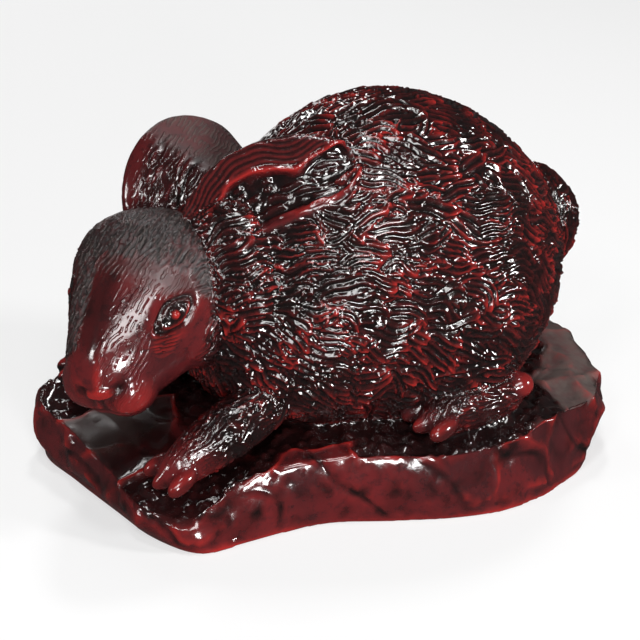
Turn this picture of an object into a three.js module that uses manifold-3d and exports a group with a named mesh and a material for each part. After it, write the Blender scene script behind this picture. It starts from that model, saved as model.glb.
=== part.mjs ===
// A rabbit crouching on a low rock, carved and cast as one solid piece.
// Millimetres, +Z up. The body points to -X, the left flank to -Y.
// The origin is the middle of the flat underside.

import * as THREE from 'three';
import { mergeVertices } from 'three/addons/utils/BufferGeometryUtils.js';
import Module from 'manifold-3d';

const wasm = await Module();
wasm.setup();

const FULL_TURN = 2 * Math.PI;
const UP = new THREE.Vector3(0, 0, 1);
const BACKWARD = new THREE.Vector3(1, 0, 0);
const MERGE_DISTANCE = 1e-4;

// The middle of the finished piece's underside, in the sculptor's own layout below.
const ORIGIN = { x: 1.585, y: 0.435 };

// The rock: one ring of points round the underside and one round the top edge.
const ROCK = {
  foot: [
    [-21.2, 12.3], [-20.4, 6.9], [-19.2, 0.8], [-17.7, -5.4], [-15.4, -8.9],
    [-10.8, -9.1], [-4.6, -9.5], [0.8, -11.9], [6.2, -14.2], [11.6, -15.4],
    [16.9, -14.5], [21.6, -10], [24.3, -3.5], [24.3, 4.6], [20.8, 11.8],
    [10.8, 15], [-3.1, 14.8], [-13.9, 15.4], [-19.2, 15.8],
  ],
  edge: [
    [-21.9, 11.2, 6.3], [-20.8, 6.2, 5.4], [-20, 0.8, 4.6], [-19, -4.8, 3.6],
    [-15.9, -8.1, 3.6], [-11.2, -7.6, 5.4], [-5.4, -9.2, 6.2], [0, -11.4, 6.5],
    [5.4, -13.6, 6], [11.6, -14.3, 6.2], [16.9, -13.7, 6.9], [22.3, -11.2, 6.5],
    [25.4, -5.8, 7.5], [26.3, 1.2, 7.7], [23.5, 10, 7.7], [10.8, 15, 7.6],
    [-3.1, 14.6, 7.3], [-14.6, 14.8, 7.1], [-20.8, 14.6, 7.1],
  ],
  crown: [1.5, 0.8, 8.1],
  swell: 0.05,
  grooves: { count: 11, slant: 2.6, depth: 0.02 },
  topShare: 0.3,
  sideShare: 0.5,
  stations: 15,
  sectors: 48,
};

// Flat faces struck on the rock's sides: direction round the rock, upward tilt, distance from
// the middle of the rock. Their edges are rounded.
const FACETS = [
  { turn: -100, tilt: 14, reach: 13.4 },
  { turn: -74, tilt: 6, reach: 17.6 },
  { turn: -44, tilt: 16, reach: 25.8 },
  { turn: -14, tilt: 12, reach: 27.9 },
  { turn: 50, tilt: 18, reach: 24 },
  { turn: 92, tilt: 10, reach: 16 },
  { turn: 128, tilt: 18, reach: 24.8 },
  { turn: 190, tilt: 12, reach: 22.2 },
];
const FACET_EDGE = 0.8;

// The trunk: a row of sections from chest to rump, covered with locks of fur.
const TRUNK = {
  front: -11.6,
  rear: 23.9,
  middleY: 1.2,
  halfWidth: [8.9, 10.8, 11.8, 11.6, 9.8],
  middleZ: [15, 16.6, 18.1, 18.1, 16.6],
  topHeight: [11.9, 14.8, 14.8, 13.4, 12.2],
  lowHeight: [9.6, 11.6, 13.5, 13.2, 11],
  roundness: [0.55, 0.8],
  belly: 0.82,
  stations: 30,
  sectors: 68,
};
const LOCK = { height: 0.6, sunk: 0.15, stations: 3, sectors: 4 };
const RELIEF_FADE = 1.5;

// Haunches and shoulders stand out of both flanks: place along the trunk, angle below the
// widest line, height, and half reach along and around.
const SWELLS = [
  { run: 0.64, below: 0.45, height: 1.9, alongReach: 0.18, aroundReach: 0.6 },
  { run: 0.2, below: 0.35, height: 1, alongReach: 0.12, aroundReach: 0.55 },
];

const NECK = { spine: [[-3, 2, 18.4], [-8, 2.4, 18.6], [-13.5, 2.8, 18.4]], half: [9, 8.4, 6.4] };

const HEAD = {
  middle: [-14.2, 2.7, 18.5],
  facing: [-0.704, -0.501, -0.507],
  behind: 6.9,
  ahead: 11.2,
  halfWidth: [5.7, 6.8, 7.3, 7, 6.2, 5.2, 4.7],
  topHeight: [5.1, 6, 6.4, 6.2, 5.5, 4.9, 4.5],
  lowHeight: [5.4, 6.2, 6.8, 6.6, 6.2, 5.7, 5.2],
  roundness: 0.7,
  stations: 18,
  sectors: 28,
};
// What stands out on both sides of the face, measured from the head's middle, with half sizes:
// an eye, a whisker pad and a cheek.
const FACE = [
  { ahead: 3.4, aside: 4.7, above: 3, half: [1.5, 0.7, 1.2] },
  { ahead: 8.2, aside: 1.6, above: -0.8, half: [2.8, 2.6, 2.9] },
  { ahead: 0.6, aside: 3.7, above: -1.5, half: [4.4, 3.6, 4.2] },
];

const EARS = [
  {
    spine: [[-10.8, 2, 23.1], [-7.7, 0, 26.3], [-3.9, -2.4, 28.3], [0.7, -4.6, 29.3]],
    open: [-0.3, -0.86, 0.42],
    breadth: 1.08,
    curl: 1.5,
  },
  {
    spine: [[-11.9, 5.2, 20.6], [-11.6, 5.9, 25.2], [-9, 6.9, 28.4], [-3.5, 8.4, 27.9]],
    open: [-0.45, -0.5, 0.74],
    breadth: 1.24,
    curl: 0.4,
  },
];
const EAR = {
  halfWidth: [2.2, 3, 3.2, 2.8],
  front: 0.7,
  back: 1.3,
  roundness: 0.5,
  stations: 14,
  sectors: 16,
};

// Spines of the legs and feet, each from inside the body to the toes.
const FORELEG = { half: [2.5, 2.3, 2.1, 2.1] };
const HIND_FOOT = { half: [2, 1.9, 2, 1.8] };
const LIMBS = [
  { ...FORELEG, spine: [[-5.4, -4.6, 10.8], [-10, -5.2, 9.2], [-13.8, -5.4, 7.5], [-17.5, -5.8, 5.9]] },
  { ...FORELEG, spine: [[-6.2, 7.7, 10.6], [-10.8, 9.6, 9.4], [-15, 11, 8.8], [-19, 11.7, 7.9]] },
  { ...HIND_FOOT, spine: [[14.5, -9.2, 8.5], [11.9, -9.9, 8.5], [8.1, -10.2, 8.3], [3.9, -10.5, 7.7]] },
  { ...HIND_FOOT, spine: [[14.5, 11.2, 8.5], [11.9, 11.8, 8.5], [8.1, 12.1, 8.3], [3.9, 12.4, 7.7]] },
];
const TOES = { count: 3, half: [1.8, 0.8, 0.85], root: 0.93, spread: 1.85, shorter: 0.3, fan: 0.2 };
const HEELS = {
  spines: [
    [[12.4, -10.6, 9.1], [14.8, -10.8, 9.5]],
    [[12.4, 12.6, 9.1], [14.8, 12.8, 9.5]],
  ],
  half: 1.15,
};

// The short tail is turned up and lies against the rump.
const TAIL = {
  spine: [[20.5, 1, 13], [23, 0.9, 16.6], [23.4, 0.8, 20.4], [21.6, 0.8, 24]],
  halfWidth: [2.4, 3.6, 3.8, 2.8],
  halfDepth: [2, 2.3, 2.4, 2],
};

const COLOUR = 0x6e1414;

// A smooth curve through evenly spaced values, read from 0 to 1.
function profile(values) {
  const points = values.map((value, place) => new THREE.Vector2(place, value));
  const curve = new THREE.SplineCurve(points);
  return (along) => curve.getPoint(along).y;
}

// A closed round form. place(along, around) gives a point, with along from 0 to 1 between
// the two poles and around from 0 to a full turn.
function roundForm(stations, sectors, place) {
  const form = new THREE.SphereGeometry(1, sectors, stations);
  const { position, uv } = form.attributes;
  for (let i = 0; i < position.count; i += 1) {
    const point = place(1 - uv.getY(i), uv.getX(i) * FULL_TURN);
    position.setXYZ(i, point.x, point.y, point.z);
  }
  form.deleteAttribute('normal');
  form.deleteAttribute('uv');
  return mergeVertices(form, MERGE_DISTANCE);
}

function solid(form) {
  return new wasm.Manifold(new wasm.Mesh({
    numProp: 3,
    vertProperties: Float32Array.from(form.attributes.position.array),
    triVerts: Uint32Array.from(form.index.array),
  }));
}

// A rounded limb along a spine, with its own width and height at each station.
function limb({
  spine, wide, high, low = high, up = UP, roundness = 1, stations = 8, sectors = 10,
}) {
  const curve = new THREE.CatmullRomCurve3(spine.map((point) => new THREE.Vector3(...point)));
  return roundForm(stations, sectors, (along, around) => {
    const run = (1 - Math.cos(Math.PI * along)) / 2;
    const taper = Math.sin(Math.PI * along) ** roundness;
    const ahead = curve.getTangent(run);
    const side = new THREE.Vector3().crossVectors(ahead, up).normalize();
    const over = new THREE.Vector3().crossVectors(side, ahead);
    const height = Math.sin(around) > 0 ? high(run) : low(run);
    return curve.getPoint(run)
      .addScaledVector(side, Math.cos(around) * wide(run) * taper)
      .addScaledVector(over, Math.sin(around) * height * taper);
  });
}

// Rows of overlapping locks of fur, like roof tiles: each one rises towards its tip, and
// every second row is shifted by half a lock.
function lockRelief(station, sector) {
  const row = Math.floor(station / LOCK.stations);
  const rise = (station % LOCK.stations) / (LOCK.stations - 1);
  const shift = (row % 2) * LOCK.sectors / 2;
  const across = (((sector + shift) % LOCK.sectors) / LOCK.sectors) * 2 - 1;
  return LOCK.height * rise * (1 - Math.abs(across)) - LOCK.sunk;
}

// How far haunch and shoulder lift the flank, on both sides alike.
function swell(run, around) {
  const fromSide = Math.atan2(Math.sin(around), Math.abs(Math.cos(around)));
  return SWELLS.reduce((sum, { run: place, below, height, alongReach, aroundReach }) => {
    const away = Math.hypot((run - place) / alongReach, (fromSide + below) / aroundReach);
    return sum + height * Math.exp(-(away ** 2));
  }, 0);
}

function trunk() {
  const wide = profile(TRUNK.halfWidth);
  const middle = profile(TRUNK.middleZ);
  const top = profile(TRUNK.topHeight);
  const low = profile(TRUNK.lowHeight);
  const roundness = profile(TRUNK.roundness);
  return roundForm(TRUNK.stations, TRUNK.sectors, (along, around) => {
    const run = (1 - Math.cos(Math.PI * along)) / 2;
    const taper = Math.sin(Math.PI * along) ** roundness(run);
    const station = Math.round(along * TRUNK.stations);
    const sector = Math.round(around / FULL_TURN * TRUNK.sectors);
    const relief = lockRelief(station, sector) + swell(run, around);
    const lift = relief * Math.min(1, taper * RELIEF_FADE);
    const above = Math.sin(around) > 0;
    const height = (above ? top(run) : low(run)) * taper + lift;
    const fullness = above ? 1 : TRUNK.belly;
    const across = Math.sign(Math.cos(around)) * Math.abs(Math.cos(around)) ** fullness;
    const upward = Math.sign(Math.sin(around)) * Math.abs(Math.sin(around)) ** fullness;
    return new THREE.Vector3(
      TRUNK.front + (TRUNK.rear - TRUNK.front) * run,
      TRUNK.middleY - across * (wide(run) * taper + lift),
      middle(run) + upward * height,
    );
  });
}

function head() {
  const middle = new THREE.Vector3(...HEAD.middle);
  const ahead = new THREE.Vector3(...HEAD.facing).normalize();
  const side = new THREE.Vector3().crossVectors(ahead, UP).normalize();
  const over = new THREE.Vector3().crossVectors(side, ahead);
  const at = (forward, aside, above) => middle.clone()
    .addScaledVector(ahead, forward)
    .addScaledVector(side, aside)
    .addScaledVector(over, above)
    .toArray();
  const skull = limb({
    spine: [at(-HEAD.behind, 0, 0), at(0, 0, 0), at(HEAD.ahead, 0, 0)],
    wide: profile(HEAD.halfWidth),
    high: profile(HEAD.topHeight),
    low: profile(HEAD.lowHeight),
    roundness: HEAD.roundness,
    stations: HEAD.stations,
    sectors: HEAD.sectors,
  });
  const features = FACE.flatMap(({ ahead: forward, aside, above, half }) => [-1, 1].map((way) => limb({
    spine: [
      at(forward - half[0], way * aside, above),
      at(forward + half[0], way * aside, above),
    ],
    wide: () => half[1],
    high: () => half[2],
    sectors: 12,
  })));
  return [skull, ...features];
}

// An ear is a leaf curled into a trough whose open side faces one direction.
function ear({ spine, open, breadth, curl }) {
  const curve = new THREE.CatmullRomCurve3(spine.map((point) => new THREE.Vector3(...point)));
  const wide = profile(EAR.halfWidth);
  const facing = new THREE.Vector3(...open).normalize();
  return roundForm(EAR.stations, EAR.sectors, (along, around) => {
    const run = (1 - Math.cos(Math.PI * along)) / 2;
    const taper = Math.sin(Math.PI * along) ** EAR.roundness;
    const ahead = curve.getTangent(run);
    const side = new THREE.Vector3().crossVectors(ahead, facing).normalize();
    const outward = new THREE.Vector3().crossVectors(side, ahead);
    const across = Math.cos(around);
    const thick = Math.sin(around) > 0 ? EAR.front : EAR.back;
    const rise = (curl * across * across + thick * Math.sin(around)) * taper;
    return curve.getPoint(run)
      .addScaledVector(side, across * breadth * wide(run) * taper)
      .addScaledVector(outward, rise);
  });
}

// A leg or foot with its toes at its far end.
function legWithToes({ spine, half }) {
  const width = profile(half);
  const leg = limb({ spine, wide: width, high: width, roundness: 0.7 });
  const curve = new THREE.CatmullRomCurve3(spine.map((point) => new THREE.Vector3(...point)));
  const tip = curve.getPoint(TOES.root);
  const ahead = curve.getTangent(1).normalize();
  const aside = new THREE.Vector3().crossVectors(ahead, UP).normalize();
  const toes = Array.from({ length: TOES.count }, (_, i) => {
    const place = i - (TOES.count - 1) / 2;
    const course = ahead.clone().addScaledVector(aside, place * TOES.fan).normalize();
    const root = tip.clone().addScaledVector(aside, place * TOES.spread);
    const start = root.clone().addScaledVector(course, -TOES.half[0]);
    const end = root.clone().addScaledVector(course, TOES.half[0] - TOES.shorter * Math.abs(place));
    return limb({
      spine: [start.toArray(), end.toArray()],
      wide: () => TOES.half[1],
      high: () => TOES.half[2],
      stations: 5,
      sectors: 6,
    });
  });
  return [leg, ...toes];
}

// Presses every point that lies beyond a struck face back onto it, with rounded edges
// between the faces.
function strike(point) {
  for (const { turn, tilt, reach } of FACETS) {
    const yaw = THREE.MathUtils.degToRad(turn);
    const pitch = THREE.MathUtils.degToRad(tilt);
    const face = new THREE.Vector3(
      Math.cos(yaw) * Math.cos(pitch),
      Math.sin(yaw) * Math.cos(pitch),
      Math.sin(pitch),
    );
    const beyond = point.dot(face) - reach;
    const press = (beyond + Math.hypot(beyond, FACET_EDGE)) / 2;
    point.addScaledVector(face.setZ(0), -press / face.lengthSq());
  }
  return point;
}

function rock() {
  const ring = (points) => new THREE.CatmullRomCurve3(
    points.map(([x, y, z = 0]) => new THREE.Vector3(x, y, z)),
    true,
    'centripetal',
  );
  const foot = ring(ROCK.foot);
  const edge = ring(ROCK.edge);
  const crown = new THREE.Vector3(...ROCK.crown);
  return roundForm(ROCK.stations, ROCK.sectors, (along, around) => {
    const turn = (around / FULL_TURN) % 1;
    const low = foot.getPoint(turn);
    const high = edge.getPoint(turn);
    if (along < ROCK.topShare) {
      return strike(crown.clone().lerp(high, along / ROCK.topShare));
    }
    const down = (along - ROCK.topShare) / ROCK.sideShare;
    if (down > 1) {
      return low.multiplyScalar((1 - along) / (1 - ROCK.topShare - ROCK.sideShare));
    }
    const groove = ROCK.grooves.depth * Math.cos(ROCK.grooves.count * around + ROCK.grooves.slant * down);
    const swell = 1 + (ROCK.swell + groove) * Math.sin(Math.PI * down);
    const point = high.lerp(low, down);
    point.x *= swell;
    point.y *= swell;
    return strike(point);
  });
}

function rabbitOnRock() {
  const forms = [
    rock(),
    trunk(),
    ...head(),
    ...EARS.map(ear),
    limb({ spine: NECK.spine, wide: profile(NECK.half), high: profile(NECK.half), sectors: 16 }),
    limb({
      spine: TAIL.spine,
      wide: profile(TAIL.halfWidth),
      high: profile(TAIL.halfDepth),
      up: BACKWARD,
      roundness: 0.8,
    }),
    ...LIMBS.flatMap(legWithToes),
    ...HEELS.spines.map((spine) => limb({
      spine,
      wide: () => HEELS.half,
      high: () => HEELS.half,
      stations: 6,
    })),
  ];
  const whole = forms.map(solid).reduce((sum, form) => sum.add(form));
  const { vertProperties, triVerts } = whole.getMesh();
  const geometry = new THREE.BufferGeometry();
  geometry.setAttribute('position', new THREE.BufferAttribute(vertProperties, 3));
  geometry.setIndex(new THREE.BufferAttribute(triVerts, 1));
  return geometry;
}

const material = new THREE.MeshStandardMaterial({ color: COLOUR, roughness: 0.3, metalness: 0 });
const piece = new THREE.Mesh(rabbitOnRock(), material);
piece.name = 'rabbit_on_rock';
piece.position.set(-ORIGIN.x, -ORIGIN.y, 0);

const netsuke = new THREE.Group();
netsuke.add(piece);

export default netsuke;
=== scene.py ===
"""A rabbit crouching on a rock, cast in dark red resin: the looks of a small netsuke.

Shapes are worked out in millimetres in the sculptor's layout, where the body points to -X and
the left flank to -Y, and are put into the frame in metres at the very end.
"""

import itertools
import math

import bpy
import numpy as np
from bpy.props import FloatProperty, FloatVectorProperty, IntProperty, PointerProperty
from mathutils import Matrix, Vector


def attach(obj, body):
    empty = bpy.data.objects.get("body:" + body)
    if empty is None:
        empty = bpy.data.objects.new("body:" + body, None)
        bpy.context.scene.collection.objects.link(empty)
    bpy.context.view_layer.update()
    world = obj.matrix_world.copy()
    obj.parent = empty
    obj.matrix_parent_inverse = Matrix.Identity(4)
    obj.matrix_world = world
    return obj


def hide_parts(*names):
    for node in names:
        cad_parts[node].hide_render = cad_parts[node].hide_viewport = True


bl_info = {
    "name": "Crouching Rabbit Netsuke",
    "version": (1, 0, 0),
    "blender": (4, 5, 0),
    "location": "3D View > Sidebar > Netsuke",
    "description": "Carves a crouching rabbit on a rock in dark red resin and sets its stage",
    "category": "Object",
}

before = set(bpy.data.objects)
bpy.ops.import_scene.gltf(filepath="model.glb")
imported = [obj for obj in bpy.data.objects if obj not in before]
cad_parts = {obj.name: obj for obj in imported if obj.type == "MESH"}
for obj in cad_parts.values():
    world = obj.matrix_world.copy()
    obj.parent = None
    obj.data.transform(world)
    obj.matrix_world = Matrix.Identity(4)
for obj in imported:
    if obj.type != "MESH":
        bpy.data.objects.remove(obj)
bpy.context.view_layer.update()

MM = 0.001
FULL_TURN = 2 * math.pi
UP = np.array([0.0, 0.0, 1.0])
# The middle of the underside in the sculptor's layout, which is the frame's origin.
ORIGIN = np.array([1.585, 0.435, 0.0])
# What lies lower than this is pressed flat on the ground.
GROUND_SKIN = 0.05

ROCK_FOOT = [
    (-21.2, 12.3), (-20.4, 6.9), (-19.2, 0.8), (-17.7, -5.4), (-15.4, -8.9),
    (-10.8, -9.1), (-4.6, -9.5), (0.8, -11.9), (6.2, -14.2), (11.6, -15.4),
    (16.9, -14.5), (21.6, -10), (24.3, -3.5), (24.3, 4.6), (20.8, 11.8),
    (10.8, 15), (-3.1, 14.8), (-13.9, 15.4), (-19.2, 15.8),
]
ROCK_EDGE = [
    (-21.9, 11.2, 6.3), (-20.8, 6.2, 5.4), (-20, 0.8, 4.6), (-19, -4.8, 3.6),
    (-15.9, -8.1, 3.6), (-11.2, -7.6, 5.4), (-5.4, -9.2, 6.2), (0, -11.4, 6.5),
    (5.4, -13.6, 6), (11.6, -14.3, 6.2), (16.9, -13.7, 6.9), (22.3, -11.2, 6.5),
    (25.4, -5.8, 7.5), (26.3, 1.2, 7.7), (23.5, 10, 7.7), (10.8, 15, 7.6),
    (-3.1, 14.6, 7.3), (-14.6, 14.8, 7.1), (-20.8, 14.6, 7.1),
]
ROCK_CROWN = (1.5, 0.8, 8.1)
ROCK_TOP_SHARE = 0.3
ROCK_SIDE_SHARE = 0.5
ROCK_SWELL = 0.05
# Struck faces: direction round the rock and upward tilt in degrees, distance from the middle.
FACETS = [
    (-100, 14, 13.4), (-74, 6, 17.6), (-44, 16, 25.8), (-14, 12, 27.9),
    (50, 18, 24), (92, 10, 16), (128, 18, 24.8), (190, 12, 22.2),
]
FACET_EDGE = 0.8
DIMPLE_SPACING = 6.5
PIT_SPACING = 1.6
PIT_DEPTH = 0.12
# Slanting grooves: across them, their pitch, and the width and depth of each.
GROOVE_COURSE = (0.8, 0.25, 0.75)
GROOVE_PITCH = 5.2
GROOVE_WIDTH = 0.0894
GROOVE_DEPTH = 0.14

TRUNK_FRONT = -11.6
TRUNK_REAR = 23.9
TRUNK_MIDDLE_Y = 1.2
TRUNK_HALF_WIDTH = [8.9, 10.8, 11.8, 11.6, 9.8]
TRUNK_MIDDLE_Z = [15, 16.6, 18.1, 18.1, 16.6]
TRUNK_TOP_HEIGHT = [11.9, 14.8, 14.8, 13.4, 12.2]
TRUNK_LOW_HEIGHT = [9.6, 11.6, 13.5, 13.2, 11]
TRUNK_ROUNDNESS = [0.55, 0.8]
TRUNK_BELLY = 0.82
# Haunch and shoulder: place along the trunk, angle below the widest line, height, half
# reach along and around.
SWELLS = [(0.64, 0.45, 1.9, 0.18, 0.6), (0.2, 0.35, 1, 0.12, 0.55)]

NECK_SPINE = [(-3, 2, 18.4), (-8, 2.4, 18.6), (-13.5, 2.8, 18.4)]
NECK_HALF = [9, 8.4, 6.4]

HEAD_MIDDLE = np.array([-14.2, 2.7, 18.5])
HEAD_FACING = np.array([-0.704, -0.501, -0.507])
HEAD_BEHIND = 6.9
HEAD_AHEAD = 11.2
HEAD_HALF_WIDTH = [5.7, 6.8, 7.3, 7, 6.2, 5.2, 4.7]
HEAD_TOP_HEIGHT = [5.1, 6, 6.4, 6.2, 5.5, 4.9, 4.5]
HEAD_LOW_HEIGHT = [5.4, 6.2, 6.8, 6.6, 6.2, 5.7, 5.2]
# Whisker pads and cheeks: ahead, aside and above the head's middle, and half sizes.
FACE_FORMS = [((8.2, 1.6, -0.8), (2.8, 2.6, 2.9)), ((0.6, 3.7, -1.5), (4.4, 3.6, 4.2))]
# The eyes: their corners and middles, ahead, aside and above the head's middle, and the way
# they face. The near side of the head is the negative one.
EYE_INNER = (5.2, 4.2, 2.75)
EYE_OUTER = (1.5, 5.7, 3.05)
EYE_MIDDLE = (3.45, 5.15, 3.0)
EYE_FACING = (0.1, 0.85, 0.45)
EYE_REACH = 4
EYE_HALF_LENGTH = 1.35
EYE_HALF_HEIGHT = 0.78
EYEBALL_HALF = 1.15
PUPIL_HALF = 0.36
IRIS_HALF = 0.48
FOLD_PITCH = 0.45
# The far side of the face doesn't show, and is carved more shallowly.
FAR_SHARE = 0.45
NOSE_HALF = (1.3, 0.42)
NOSE_ABOVE = 1.05
NOSTRIL_ASIDE = 1.5
NOSTRIL_HALF = (0.5, 0.35)
LIP_ASIDE = 2.3
LIP_HALF = (1.7, 1.2)
MOUTH_ABOVE = -1.0
MOUTH_HALF = 2.2
LINE_WIDTH = 0.2

EARS = [
    ([(-10.8, 2, 23.1), (-7.7, 0, 26.3), (-3.9, -2.4, 28.3), (0.7, -4.6, 29.3)],
     (-0.3, -0.86, 0.42), 1.08, 1.5),
    ([(-11.9, 5.2, 20.6), (-11.6, 5.9, 25.2), (-9, 6.9, 28.4), (-3.5, 8.4, 27.9)],
     (-0.45, -0.5, 0.74), 1.24, 0.4),
]
EAR_HALF_WIDTH = [2.2, 3, 3.2, 2.8]
EAR_FRONT = 0.7
EAR_BACK = 1.3
# Where the rolled rim of the near ear runs across it, from its root to its tip, and how many
# strokes and fine lines lie in half its width.
EAR_RIM = [-0.2, -0.1, -0.25, -0.42, -0.38, -0.2, -0.6, -1.0]
EAR_STROKES = 3.2 / 0.6
EAR_LINES = 3.2 / 0.45

FORELEG_HALF = [2.5, 2.3, 2.1, 2.1]
HIND_FOOT_HALF = [2, 1.9, 2, 1.8]
FORELEGS = [
    [(-5.4, -4.6, 10.8), (-10, -5.2, 9.2), (-13.8, -5.4, 7.5), (-17.5, -5.8, 5.9)],
    [(-6.2, 7.7, 10.6), (-10.8, 9.6, 9.4), (-15, 11, 8.8), (-19, 11.7, 7.9)],
]
HIND_FEET = [
    [(14.5, -9.2, 8.5), (11.9, -9.9, 8.5), (8.1, -10.2, 8.3), (3.9, -10.5, 7.7)],
    [(14.5, 11.2, 8.5), (11.9, 11.8, 8.5), (8.1, 12.1, 8.3), (3.9, 12.4, 7.7)],
]
HEELS = [
    [(12.4, -10.6, 9.1), (14.8, -10.8, 9.5)],
    [(12.4, 12.6, 9.1), (14.8, 12.8, 9.5)],
]
HEEL_HALF = 1.15
HEELS_FROM = 10.4
TOE_COUNT = 3
TOE_HALF = (1.8, 0.8, 0.85)
TOE_ROOT = 0.93
TOE_SPREAD = 1.85
TOE_SHORTER = 0.3
TOE_FAN = 0.2

TAIL_SPINE = [(20.5, 1, 13), (23, 0.9, 16.6), (23.4, 0.8, 20.4), (21.6, 0.8, 24)]
TAIL_HALF_WIDTH = [2.4, 3.6, 3.8, 2.8]
TAIL_HALF_DEPTH = [2, 2.3, 2.4, 2]

# The worked channel round feet and belly: the belly's oval on the rock's top, points taken
# along each leg, a leg's half width, how far the channel reaches and how deep it lies.
BELLY_MIDDLE = (5.5, 1.2)
BELLY_HALF = (15, 8.6)
CHANNEL_STEPS = 16
CHANNEL_INNER = 2.6
CHANNEL_REACH = (1.9, 1.3)
CHANNEL_DEPTH = 0.5
LUMP_SPACING = 1.1
LUMP_HEIGHT = 0.45
LEDGE_GAP = 2.0
LEDGE_WIDTH = 0.22
LEDGE_HEIGHT = 0.12

# Locks of fur on legs and chest, and on the head, in millimetres; turn in radians. Those of the
# trunk are in the settings. bend and wave say how far a lock curves and how much it wavers.
LOCK_BEND = 0.35
LOCK_WAVE = 0.16
LEG_LOCKS = {
    "spacing": 1.7, "length": 3.4, "width": 0.9, "pitch": 0.5, "turn": 0.7,
    "bend": LOCK_BEND, "wave": LOCK_WAVE,
}
HEAD_LOCKS = {
    "spacing": 1.6, "length": 3.8, "width": 0.8, "pitch": 0.45, "turn": 0.8,
    "bend": 0.3, "wave": LOCK_WAVE,
}
LOCK_ROOT = 0.44
CHEST_MIDDLE = (-9, -6, 13)
CHEST_REACH = 8.5

# Fine scratched strokes on snout, ear and feet: across them, pitch, waviness and depth in metres.
HATCH_COURSE = (-0.67, 0.59, 0.45)
HATCH_PITCH = 0.0004
HATCH_SWAY = 0.0009
HATCH_DEPTH = 0.00009
# The grain of the resin: clouds and specks per metre.
CLOUDS_PER_METRE = 90.0
TONING_PER_METRE = 900.0
SPECKS_PER_METRE = 1300.0
SHEEN_PER_METRE = 2200.0
GRAIN_PER_METRE = 3200.0
GRAIN_DEPTH = 0.00008

# Soft lights: name, place in metres, side in metres, power in watts.
LIGHTS = [
    ("key", (-0.11, -0.26, 0.245), 0.12, 0.55),
    ("front_window", (-0.06, -0.35, 0.07), 0.06, 0.8),
    ("top", (-0.05, -0.06, 0.38), 0.045, 0.25),
    ("left_window", (-0.34, 0.02, 0.15), 0.05, 0.2),
    ("ear_light", (-0.23, -0.19, 0.25), 0.05, 0.2),
    ("right_window", (0.26, -0.24, 0.14), 0.05, 0.85),
    ("rear_top", (0.08, 0.14, 0.33), 0.05, 0.3),
    ("back", (0.02, 0.32, 0.15), 0.1, 0.2),
]
FLOOR_GREY = 0.4
FLOOR_GLOW = 0.5
BACKGROUND_SEEN = 0.9

PARTS = (
    "rock", "trunk", "neck", "head", "near_ear", "far_ear", "tail", "foreleg", "hind_foot", "toe",
)


def unit(vectors):
    """Vectors scaled to length one, as whole arrays."""
    length = np.linalg.norm(vectors, axis=-1, keepdims=True)
    return vectors / np.maximum(length, 1e-9)


def dot(first, second):
    """Dot products, row by row."""
    return np.einsum("ij,ij->i", np.broadcast_to(first, second.shape), second)


def ease(low, high, values):
    """Smooth step from 0 at low to 1 at high: 3t^2 - 2t^3."""
    step = np.clip((values - low) / (high - low), 0, 1)
    return step * step * (3 - 2 * step)


def bell(offset, width):
    """A rounded bump, 1 at its middle: e to the minus square of offset by width."""
    return np.exp(-(offset / width) ** 2)


def ripple(turns):
    """A wave from 0 to 1 with a crest at each whole number: half of one plus the cosine."""
    return 0.5 + 0.5 * np.cos(FULL_TURN * turns)


def graded(values, place):
    """Evenly spaced values joined by a uniform cubic whose slopes are half the distance
    between the neighbours of each value, clamped at both ends."""
    values = np.asarray(values, float)
    last = len(values) - 1
    at = np.clip(place, 0, 1) * last
    start = np.minimum(np.floor(at).astype(int), last - 1)
    part = at - start
    first, second = values[start], values[start + 1]
    leave = (second - values[np.maximum(start - 1, 0)]) / 2
    meet = (values[np.minimum(start + 2, last)] - first) / 2
    cubic = 2 * first - 2 * second + leave + meet
    square = -3 * first + 3 * second - 2 * leave - meet
    return ((cubic * part + square) * part + leave) * part + first


def smooth_path(points, run, closed=False):
    """Places and directions on a smooth curve through points. Each stretch is a cubic whose
    end slopes weigh the neighbouring chords by the square roots of their lengths."""
    points = np.array([tuple(point) + (0,) * (3 - len(point)) for point in points], float)
    count = len(points)
    if closed:
        padded = points[np.arange(-1, count + 2) % count]
    else:
        before = 2 * points[:1] - points[1:2]
        after = 2 * points[-1:] - points[-2:-1]
        padded = np.concatenate([before, points, after])
    stretches = count if closed else count - 1
    at = run * stretches
    start = np.minimum(np.floor(at).astype(int), stretches - 1)
    part = (at - start)[:, None]
    p0, p1, p2, p3 = (padded[start + step] for step in range(4))
    d0, d1, d2 = (
        np.sqrt(np.linalg.norm(b - a, axis=1, keepdims=True))
        for a, b in ((p0, p1), (p1, p2), (p2, p3))
    )
    leave = ((p1 - p0) / d0 - (p2 - p0) / (d0 + d1) + (p2 - p1) / d1) * d1
    meet = ((p2 - p1) / d1 - (p3 - p1) / (d1 + d2) + (p3 - p2) / d2) * d1
    cubic = 2 * p1 - 2 * p2 + leave + meet
    square = -3 * p1 + 3 * p2 - 2 * leave - meet
    place = ((cubic * part + square) * part + leave) * part + p1
    heading = (3 * cubic * part + 2 * square) * part + leave
    return place, unit(heading)


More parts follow.
